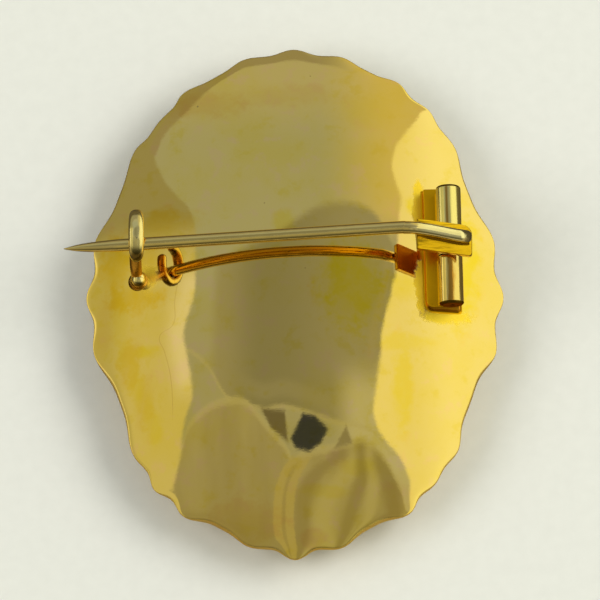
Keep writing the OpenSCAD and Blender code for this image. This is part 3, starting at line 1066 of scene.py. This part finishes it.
def make_knuckle():
    """The turning tube, the strap, and the rib of solder between them."""
    bm = bmesh.new()
    half = KNUCKLE_L / 2
    ends = rounded_end(TUBE_R, half, INNER_ROUND, 3)
    profile = [(BORE_R, -half)] + [(r, -y) for r, y in reversed(ends)] + ends + [(BORE_R, half)]
    add_turned(bm, profile)

    outline = dense(corner_outline(-STRAP_L / 2, STRAP_L / 2, -STRAP_W / 2, STRAP_W / 2,
                                   (0.16, 0.3, 0.8, 0.16)))
    # How far each level is drawn in, and how high it is over the strap's underside
    levels = [(0.1, 0.0), (0.03, 0.03), (0.0, 0.1), (0.0, STRAP_T - 0.13),
              (0.035, STRAP_T - 0.04), (0.13, STRAP_T)]
    rings = []
    for inset, up in levels:
        squeeze_x = 1 - 2 * inset / STRAP_L
        squeeze_y = 1 - 2 * inset / STRAP_W
        rings.append([strap_spot(x * squeeze_x, y * squeeze_y, up) for x, y in outline])
    paint(add_rings(bm, rings), 1)

    rib_top = strap_spot(0, 0, 0).z - HINGE_Z + 0.05
    section = [(-0.55, 0.6), (0.55, 0.6), (0.62, 0.95), (0.78, rib_top), (-0.78, rib_top),
               (-0.62, 0.95)]
    add_bar(bm, section, -1.05, 1.05)
    finished("turning_tube_and_strap", bm, "pin", "fitting_gold", "pin_knuckle",
             TUBE_GOLD, STRAP_GOLD)


def make_stem_solder():
    """The bead of solder along each side of the stem where it lies on the strap."""
    bm = bmesh.new()
    r = STEM_D / 2
    strap_top = -r - SEAT
    for side in (-1, 1):
        rings = []
        for k in range(33):
            u = k / 32
            x = HINGE_X + STRAP_DX + (u - 0.5) * (STRAP_L - 0.5)
            y = stem_y_at(x)
            z = stem_height(x)
            # The bead is full along its middle and runs out at its ends
            full = min(1, 6 * u, 6 * (1 - u)) ** 0.5
            reach = r + BEAD_W * full + 0.03
            section = [(0.1, strap_top - 0.02), (reach, strap_top - 0.02),
                       (reach - 0.06, strap_top + 0.02)]
            for j in range(5):
                a = 90 * (j + 1) / 6
                section.append((reach - (reach - r * 0.86) * sind(a),
                                strap_top + 0.02 + (BEAD_H * full + 0.03) * (1 - cosd(a))))
            section.append((0.1, -r * 0.5))
            rings.append([Vector((x, y + side * a, z + b)) for a, b in section])
        add_rings(bm, rings)
    finished("stem_solder", bm, "pin", "fitting_gold", None, SOLDER_GOLD)


make_stem()
make_knuckle()
make_stem_solder()


# ---- The catch ----

STEM_Y = stem_y_at(CATCH_X)
HOOK_Y = STEM_Y - STEM_D / 2 - HOOK_GAP + HOOK_L - HOOK_T / 2
HOOK_Z = stem_height(CATCH_X) - HOOK_GAP
# The foot of solder, and the post that rises from it behind the ball: height and place along the
# oval from the foot, place sideways from the catch's middle, and half widths
FOOT = [
    (0.05, 0.00, 0.10, 0.90, 0.88),
    (0.16, 0.00, 0.10, 0.78, 0.76),
    (0.42, 0.00, 0.10, 0.66, 0.64),
    (0.60, 0.00, 0.10, 0.50, 0.50),
]
POST = [
    (0.30, 0.28, 0.00, 0.50, 0.42),
    (1.00, 0.36, -0.04, 0.50, 0.42),
    (1.60, 0.52, -0.08, 0.50, 0.42),
    (2.40, 0.90, -0.12, 0.51, 0.42),
    (3.30, 1.48, -0.12, 0.50, 0.40),
    (3.75, 1.75, -0.08, 0.40, 0.30),
]
# Height up to which both follow the slope of the back
FOLLOW_H = 0.45
BALL_R, BALL_UP, BALL_SIDE = 0.64, 0.74, 0.12
HOOK_STEPS, BALL_STEPS = 90, 16
SIDEWAYS, ALONG = Vector((1, 0, 0)), Vector((0, 1, 0))


def hook_ring(a, size=1.0, past=0.0):
    """A ring of the hook at an angle round it, at a share of its full size and a distance past
    that angle; the hook is broadest on its top."""
    centre = Vector((CATCH_X, HOOK_Y + HOOK_L * cosd(a), HOOK_Z + HOOK_H * sind(a)))
    way = Vector((0, -HOOK_L * sind(a), HOOK_H * cosd(a))).normalized()
    broad = 0.74 + 0.26 * max(0.0, sind(a)) ** 0.5
    return oval_ring(centre + past * way, way.cross(SIDEWAYS), SIDEWAYS,
                     size * HOOK_T / 2, size * broad * HOOK_W / 2, 2.1)


def make_catch():
    """The open hook with its rounded ends, the foot and the post under it, and the ball."""
    bm = bmesh.new()
    end = [(HOOK_ROUND * sind(a), max(0.05, cosd(a))) for a in (88, 75, 60, 45, 30, 15)]
    rings = [hook_ring(HOOK_FROM, size, -past) for past, size in end]
    step = (HOOK_TO - HOOK_FROM) / HOOK_STEPS
    rings += [hook_ring(HOOK_FROM + step * k) for k in range(HOOK_STEPS + 1)]
    rings += [hook_ring(HOOK_TO, size, past) for past, size in reversed(end)]
    add_rings(bm, rings)
    foot_z = back_z(CATCH_X, FOOT_Y)
    for column in (FOOT, POST):
        rings = []
        for height, along, side, half_x, half_y in smooth_rows(column, 4):
            centre = Vector((CATCH_X + side, FOOT_Y + along, foot_z + height))
            ring = oval_ring(centre, SIDEWAYS, ALONG, half_x, half_y)
            level = max(0.0, 1 - height / FOLLOW_H)
            for p in ring:
                p.z += level * (back_z(p.x, p.y) + hammered(p.x, p.y) - foot_z - 0.05)
            rings.append(ring)
        paint(add_rings(bm, rings), 1)
    rings = []
    for k in range(BALL_STEPS + 1):
        a = -86 + 172 * k / BALL_STEPS
        centre = Vector((CATCH_X + BALL_SIDE, FOOT_Y, foot_z + BALL_UP + BALL_R * sind(a)))
        r = BALL_R * cosd(a)
        rings.append(oval_ring(centre, SIDEWAYS, ALONG, r, r))
    add_rings(bm, rings)
    finished("hook_catch", bm, "brooch", "fitting_gold", "catch", CATCH_GOLD, POST_GOLD)


make_catch()


# ---- The stage ----

FLOOR_SIZE, FLOOR_DOWN = 800, 0.02
FLOOR_PALE, FLOOR_LIGHT = (0.80, 0.80, 0.79, 1), (0.86, 0.86, 0.85, 1)
# Painted reflection tones of the floor, seen only in the gold
MIRRORED_FLOOR_BEHIND, MIRRORED_FLOOR_IN_FRONT = (0.10, 0.085, 0.06, 1), (0.42, 0.36, 0.24, 1)
SURROUNDING = (0.80, 0.79, 0.75, 1)


def make_camera():
    """The camera at the photograph's angle."""
    data = bpy.data.cameras.new("camera")
    data.lens = LENS
    data.sensor_width = SENSOR
    data.clip_start, data.clip_end = 0.05, 10
    camera = bpy.data.objects.new("camera", data)
    bpy.context.scene.collection.objects.link(camera)
    camera.location = CAMERA_PLACE * MM
    camera.rotation_euler = (math.radians(90 - ELEVATION), 0, 0)
    bpy.context.scene.camera = camera


def make_floor():
    """A plain pale floor, just under the brooch."""
    half = FLOOR_SIZE / 2 * MM
    mesh = bpy.data.meshes.new("floor")
    mesh.from_pydata([(-half, -half, 0), (half, -half, 0), (half, half, 0), (-half, half, 0)],
                     [], [(0, 1, 2, 3)])
    material = bpy.data.materials.new("pale_floor")
    material.use_nodes = True
    tree, shader = opened(material)
    shader.inputs["Roughness"].default_value = 0.8
    here = add_node(tree, "TexCoord").outputs["Object"]
    tone = mixed(tree, cloudy(tree, here, 900.0, 5.0), FLOOR_PALE, FLOOR_LIGHT)
    # A painted reflection: the gold mirrors the floor darker than it is, as it would with black
    # card laid behind it and brown card in front
    along = add_node(tree, "SeparateXYZ", Vector=here).outputs["Y"]
    mirrored_floor = mixed(tree, fade(tree, along, 0.005, -0.02), MIRRORED_FLOOR_BEHIND, MIRRORED_FLOOR_IN_FRONT)
    in_gold = add_node(tree, "LightPath").outputs["Is Glossy Ray"]
    feed(tree, shader.inputs["Base Color"], mixed(tree, in_gold, tone, mirrored_floor))
    mesh.materials.append(material)
    floor = bpy.data.objects.new("floor", mesh)
    floor.location.z = -FLOOR_DOWN * MM
    bpy.context.scene.collection.objects.link(floor)


# Light of the tent's parts, as seen in clean metal
ROOF = (0.359, 0.415, 0.450, 1)
ROOF_UPPER = (0.425, 0.460, 0.440, 1)
ROOF_WARM = (0.600, 0.575, 0.340, 1)
ROOF_FAR = (0.300, 0.305, 0.280, 1)
BACKDROP = (0.225, 0.246, 0.232, 1)
BACKDROP_SIDE = (0.300, 0.325, 0.330, 1)
RIGHT_LAMP = (0.84, 0.86, 0.60, 1)
RIGHT_LAMP_FULL = (0.98, 1.03, 0.76, 1)
RIGHT_SHADE = (0.33, 0.345, 0.32, 1)
LEFT_LAMP = (0.575, 0.585, 0.39, 1)
LEFT_LAMP_OUTER = (0.47, 0.48, 0.30, 1)
LEFT_LAMP_NEAR = (0.69, 0.72, 0.72, 1)
LEFT_LAMP_FAR = (0.95, 0.97, 0.80, 1)
LEFT_DIM = (0.300, 0.315, 0.250, 1)
NEAR_FRONT = (0.345, 0.385, 0.400, 1)
NEAR_FRONT_LIGHT = (0.470, 0.515, 0.560, 1)
FLAP = (0.325, 0.340, 0.290, 1)
FLAP_FOLD = (0.262, 0.262, 0.205, 1)
FLAP_LIGHT = (0.405, 0.430, 0.380, 1)
HEM = (0.43, 0.46, 0.42, 1)
SEAM_LIGHT = (0.385, 0.385, 0.26, 1)
OPENING = (0.040, 0.050, 0.085, 1)
GAP = (0.145, 0.145, 0.13, 1)
GAP_LIGHT = (0.25, 0.26, 0.25, 1)
LOW_DIM = (0.100, 0.100, 0.065, 1)
LOW_DARK = (0.032, 0.026, 0.008, 1)

# Edges of the tent's parts, by the points of the picture where the back mirrors them: those that
# run up the tent, from the top down, and those that run across it, from left to right
RIGHT_EDGE = [(440, 84), (424, 106), (417, 118), (404, 134), (393, 150), (391, 162), (393, 175),
              (399, 196), (399, 215), (396, 240), (394, 262), (394, 279), (390, 295), (386, 310),
              (381, 331), (379, 350), (376, 373), (373, 390), (372, 404), (373, 418), (377, 429),
              (386, 441), (396, 455), (406, 475), (411, 490), (415, 505), (420, 530)]
LEFT_EDGE = [(148, 140), (153, 157), (163, 175), (173, 191), (189, 209), (196, 227), (198, 250),
             (198, 269), (196, 290), (190, 310), (186, 331), (189, 352), (194, 378), (194, 398),
             (189, 414), (185, 430), (182, 456), (176, 482), (166, 510)]
SEAM_MIDDLE = [(304, 452), (297, 461), (288, 478), (284, 494), (283, 510), (283, 525), (285, 540),
               (287, 555)]
ROOF_TOP = [(130, 178), (153, 157), (160, 139), (184, 113), (199, 97), (225, 71), (262, 61),
            (290, 58), (330, 62), (350, 68), (380, 84)]
BACKDROP_TOP = [(205, 275), (213, 265), (240, 248), (280, 230), (300, 218), (318, 208),
                (340, 203), (360, 205), (375, 213), (385, 228), (394, 248)]
FRONT_TOP = [(190, 350), (209, 367), (221, 387), (230, 398), (239, 399), (263, 408), (284, 405),
             (300, 409), (319, 415), (340, 421), (360, 424), (377, 434), (390, 454)]
LEFT_FLAP_TOP = [(170, 480), (184, 444), (189, 425), (200, 412), (213, 403), (231, 399),
                 (245, 400), (255, 409), (266, 423), (279, 438), (287, 448), (300, 490),
                 (310, 540)]
RIGHT_FLAP_TOP = [(280, 520), (290, 470), (300, 454), (308, 450), (329, 445), (345, 440),
                  (361, 436), (371, 441), (385, 457), (395, 475), (403, 494), (408, 515),
                  (415, 540)]
# Folds of the right flap: points along each, its half width sideways on the tent, and its light
FOLDS = [
    ([(300, 550), (302, 520), (302, 500), (309, 480), (322, 466), (338, 454)], 0.040, FLAP_FOLD),
    ([(326, 550), (322, 525), (325, 505), (336, 485), (350, 468), (368, 448)], 0.045, FLAP_LIGHT),
    ([(347, 550), (348, 525), (352, 508), (357, 492), (364, 476)], 0.033, FLAP_FOLD),
    ([(372, 545), (371, 520), (372, 500), (374, 480), (371, 458)], 0.026, FLAP_LIGHT),
    ([(398, 545), (396, 520), (392, 500), (388, 480), (381, 462)], 0.036, FLAP_FOLD),
]
# The dark opening and the shaded gaps beside it: light, and corners from the upper left on
GAPS = [
    (OPENING, [(303, 413), (315, 415), (328, 427), (320, 441), (308, 450), (296, 447),
               (291, 438)]),
    (GAP, [(262, 408), (285, 410), (288, 441), (272, 427)]),
    (GAP_LIGHT, [(346, 424), (352, 440), (334, 446)]),
]


def side_at(px):
    """How far sideways on the tent a point half way down the picture is mirrored from."""
    return mirrored(px, 300)[0]


def rise_at(py):
    """How far up the tent a point in the middle of the picture is mirrored from."""
    return mirrored(295, py)[1]


def side_fade(tree, side, start, end):
    """0 up to one point across the picture, 1 from another on, and smooth between them."""
    return fade(tree, side, side_at(start), side_at(end))


def rise_fade(tree, rise, start, end):
    """The same by points down the picture."""
    return fade(tree, rise, rise_at(start), rise_at(end))


def up_line(tree, rise, points):
    """How far sideways a line lies that runs up the tent."""
    return drawn_line(tree, rise, [mirrored(*point)[::-1] for point in points])


def across_line(tree, side, points):
    """How far up a line lies that runs across the tent."""
    return drawn_line(tree, side, [mirrored(*point) for point in points])


def band(tree, value, start, end, soft):
    """1 between two values and 0 outside, with soft edges."""
    low = fade(tree, value, start, start + soft)
    return times(tree, low, fade(tree, value, end, end - soft))


def flap_folds(tree, cloth, side, rise):
    """The right flap's cloth, with its folds."""
    for line, half, tone in FOLDS:
        away = off_from(tree, side, up_line(tree, rise, line))
        cloth = mixed(tree, times(tree, fade(tree, away, half, 0.2 * half), 0.85), cloth, tone)
    return cloth


def tent_front(tree, light, side, rise):
    """The front cloth: two flaps that overlap under the opening, with a seam between them."""
    creased = add_node(tree, "CombineXYZ", X=times(tree, side, 9.0), Y=times(tree, rise, 3.0))
    crease = cloudy(tree, creased.outputs["Vector"], 1.0, 3.0)
    plain = mixed(tree, fade(tree, crease, 0.3, 0.7), FLAP_FOLD, FLAP_LIGHT)
    plain = mixed(tree, 0.6, plain, FLAP)
    left = mixed(tree, times(tree, rise_fade(tree, rise, 500, 540), 0.5), plain, FLAP_FOLD)
    right = flap_folds(tree, plain, side, rise)
    for cloth, points, start, end in ((left, LEFT_FLAP_TOP, -0.5, 0.03),
                                      (right, RIGHT_FLAP_TOP, -0.04, 0.42)):
        under = minus(tree, across_line(tree, side, points), rise)
        across = band(tree, side, start, end, 0.02)
        light = mixed(tree, times(tree, fade(tree, under, -0.002, 0.006), across), light, cloth)
        hem = times(tree, band(tree, under, -0.008, 0.012, 0.007), across, 0.6)
        light = mixed(tree, hem, light, HEM)
    off = off_from(tree, side, up_line(tree, rise, SEAM_MIDDLE))
    seam = times(tree, fade(tree, off, 0.029, 0.024), rise_fade(tree, rise, 450, 462))
    light = mixed(tree, seam, light, SEAM_LIGHT)
    stitched = times(tree, fade(tree, off, 0.007, 0.002), rise_fade(tree, rise, 455, 475), 0.5)
    return mixed(tree, stitched, light, FLAP_FOLD)


def tent_opening(tree, light, side, rise):
    """The dark opening above the flaps, and the shaded gaps beside it."""
    spot = add_node(tree, "CombineXYZ", X=side, Y=rise).outputs["Vector"]
    for tone, points in GAPS:
        corners = [Vector(mirrored(*point)) for point in points]
        outside = None
        for here, there in zip(corners, corners[1:] + corners[:1]):
            outward = Vector((here.y - there.y, there.x - here.x)).normalized()
            past = minus(tree, dot(tree, spot, (outward.x, outward.y, 0)), outward.dot(here))
            outside = past if outside is None else maths(tree, "MAXIMUM", outside, past)
        light = mixed(tree, fade(tree, outside, 0.004, -0.003), light, tone)
    return light


def tent_roof(tree, side, rise):
    """The roof, warmer towards the right lamp, lighter higher up and dimmer past its far edge."""
    light = mixed(tree, rise_fade(tree, rise, 140, 75), ROOF, ROOF_UPPER)
    warm = times(tree, side_fade(tree, side, 315, 412), rise_fade(tree, rise, 245, 205))
    light = mixed(tree, warm, light, ROOF_WARM)
    past = minus(tree, rise, across_line(tree, side, ROOF_TOP))
    far = times(tree, fade(tree, past, -0.004, 0.010), side_fade(tree, side, 370, 310))
    return mixed(tree, far, light, ROOF_FAR)


def tent_backdrop(tree, light, side, rise):
    """The backdrop, lighter towards its edges, and paler cloth between it and the front."""
    under_top = minus(tree, across_line(tree, side, BACKDROP_TOP), rise)
    over_front = minus(tree, rise, across_line(tree, side, FRONT_TOP))
    over_low = fade(tree, over_front, -0.004, 0.005)
    light = mixed(tree, fade(tree, under_top, -0.03, 0.20), light, NEAR_FRONT)
    outer = times(tree, fade(tree, under_top, -0.012, 0.012), over_low,
                  side_fade(tree, side, 208, 222))
    light = mixed(tree, outer, light, BACKDROP_SIDE)
    middle = times(tree, fade(tree, under_top, -0.008, 0.016), over_low,
                   side_fade(tree, side, 218, 262), side_fade(tree, side, 368, 270))
    light = mixed(tree, middle, light, BACKDROP)
    glow = times(tree, band(tree, over_front, 0.006, 0.05, 0.018),
                 side_fade(tree, side, 225, 262), 0.5)
    light = mixed(tree, glow, light, BACKDROP_SIDE)
    near = times(tree, side_fade(tree, side, 328, 356), rise_fade(tree, rise, 350, 396))
    light = mixed(tree, near, light, NEAR_FRONT_LIGHT)
    hem = times(tree, band(tree, over_front, -0.006, 0.006, 0.005), 0.6)
    return mixed(tree, hem, light, HEM)


def tent_lamps(tree, light, side, rise, right_in, left_in):
    """The cloth in front of the two lamps; each is brightest where its lamp is nearest."""
    right = mixed(tree, side_fade(tree, side, 400, 452), RIGHT_LAMP, RIGHT_LAMP_FULL)
    light = mixed(tree, fade(tree, right_in, -0.003, 0.010), light, right)
    left = mixed(tree, side_fade(tree, side, 138, 106), LEFT_LAMP, LEFT_LAMP_OUTER)
    near = times(tree, fade(tree, left_in, 0.08, 0.02),
                 band(tree, rise, rise_at(402), rise_at(255), 0.05))
    left = mixed(tree, near, left, LEFT_LAMP_NEAR)
    left = mixed(tree, fade(tree, side, -0.61, -0.70), left, LEFT_LAMP_FAR)
    left = mixed(tree, rise_fade(tree, rise, 266, 205), left, LEFT_DIM)
    return mixed(tree, fade(tree, left_in, -0.003, 0.010), light, left)


def light_tent():
    """Soft light all round: a grey roof and backdrop, a lamp behind cloth on each side, and the
    cloth's front opening in the camera's direction."""
    world = bpy.data.worlds.new("light_tent")
    bpy.context.scene.world = world
    world.use_nodes = True
    tree = world.node_tree
    way = add_node(tree, "TexCoord").outputs["Generated"]
    # A little over 1, so that it isn't 0 straight away from the camera
    away = maths(tree, "ADD", 1.0001, dot(tree, way, TOWARDS_CAMERA))
    side = maths(tree, "DIVIDE", dot(tree, way, (1, 0, 0)), away)
    rise = maths(tree, "DIVIDE", dot(tree, way, UP_IN_PICTURE), away)
    # The lamps' edges waver a little
    wavering = maths(tree, "ADD", side, scaled(tree, cloudy(tree, way, 9.0, 3.0), 0.024, -0.012))
    right_in = minus(tree, wavering, up_line(tree, rise, RIGHT_EDGE))
    left_in = minus(tree, up_line(tree, rise, LEFT_EDGE), wavering)

    light = tent_roof(tree, side, rise)
    light = tent_backdrop(tree, light, side, rise)
    shade = times(tree, band(tree, right_in, -0.038, 0.0, 0.014),
                  band(tree, rise, rise_at(378), rise_at(235), 0.05), 0.7)
    light = mixed(tree, shade, light, RIGHT_SHADE)
    light = tent_front(tree, light, side, rise)
    light = tent_opening(tree, light, side, rise)
    light = tent_lamps(tree, light, side, rise, right_in, left_in)

    # Dark towards the floor on all sides
    for value, start, end, tone in ((side, -0.82, -0.98, LOW_DARK), (side, 1.2, 1.5, LOW_DARK),
                                    (rise, -0.20, -0.55, LOW_DIM), (rise, -0.7, -1.2, LOW_DARK),
                                    (rise, 1.05, 1.35, LOW_DARK)):
        light = mixed(tree, fade(tree, value, start, end), light, tone)
    # Straight into the camera, only a plain pale surrounding
    seen = add_node(tree, "LightPath").outputs["Is Camera Ray"]
    background = tree.nodes["Background"]
    feed(tree, background.inputs["Color"], mixed(tree, seen, light, SURROUNDING))
    background.inputs["Strength"].default_value = 1.0


def make_lamp(name, place, size, watts, colour):
    """A broad lamp that lights the floor and the duller gold but isn't mirrored."""
    data = bpy.data.lights.new(name, "AREA")
    data.shape = "DISK"
    data.size = size * MM
    data.energy = watts
    data.color = colour
    lamp = bpy.data.objects.new(name, data)
    lamp.location = Vector(place) * MM
    lamp.rotation_euler = (-Vector(place)).to_track_quat("-Z", "Y").to_euler()
    lamp.visible_glossy = False
    bpy.context.scene.collection.objects.link(lamp)


make_camera()
make_floor()
light_tent()
make_lamp("right_lamp", (260, 60, 300), 260, 0.75, (1, 0.97, 0.9))
make_lamp("left_lamp", (-260, -40, 280), 260, 0.5, (1, 0.98, 0.95))
bpy.context.scene.view_settings.view_transform = "Standard"
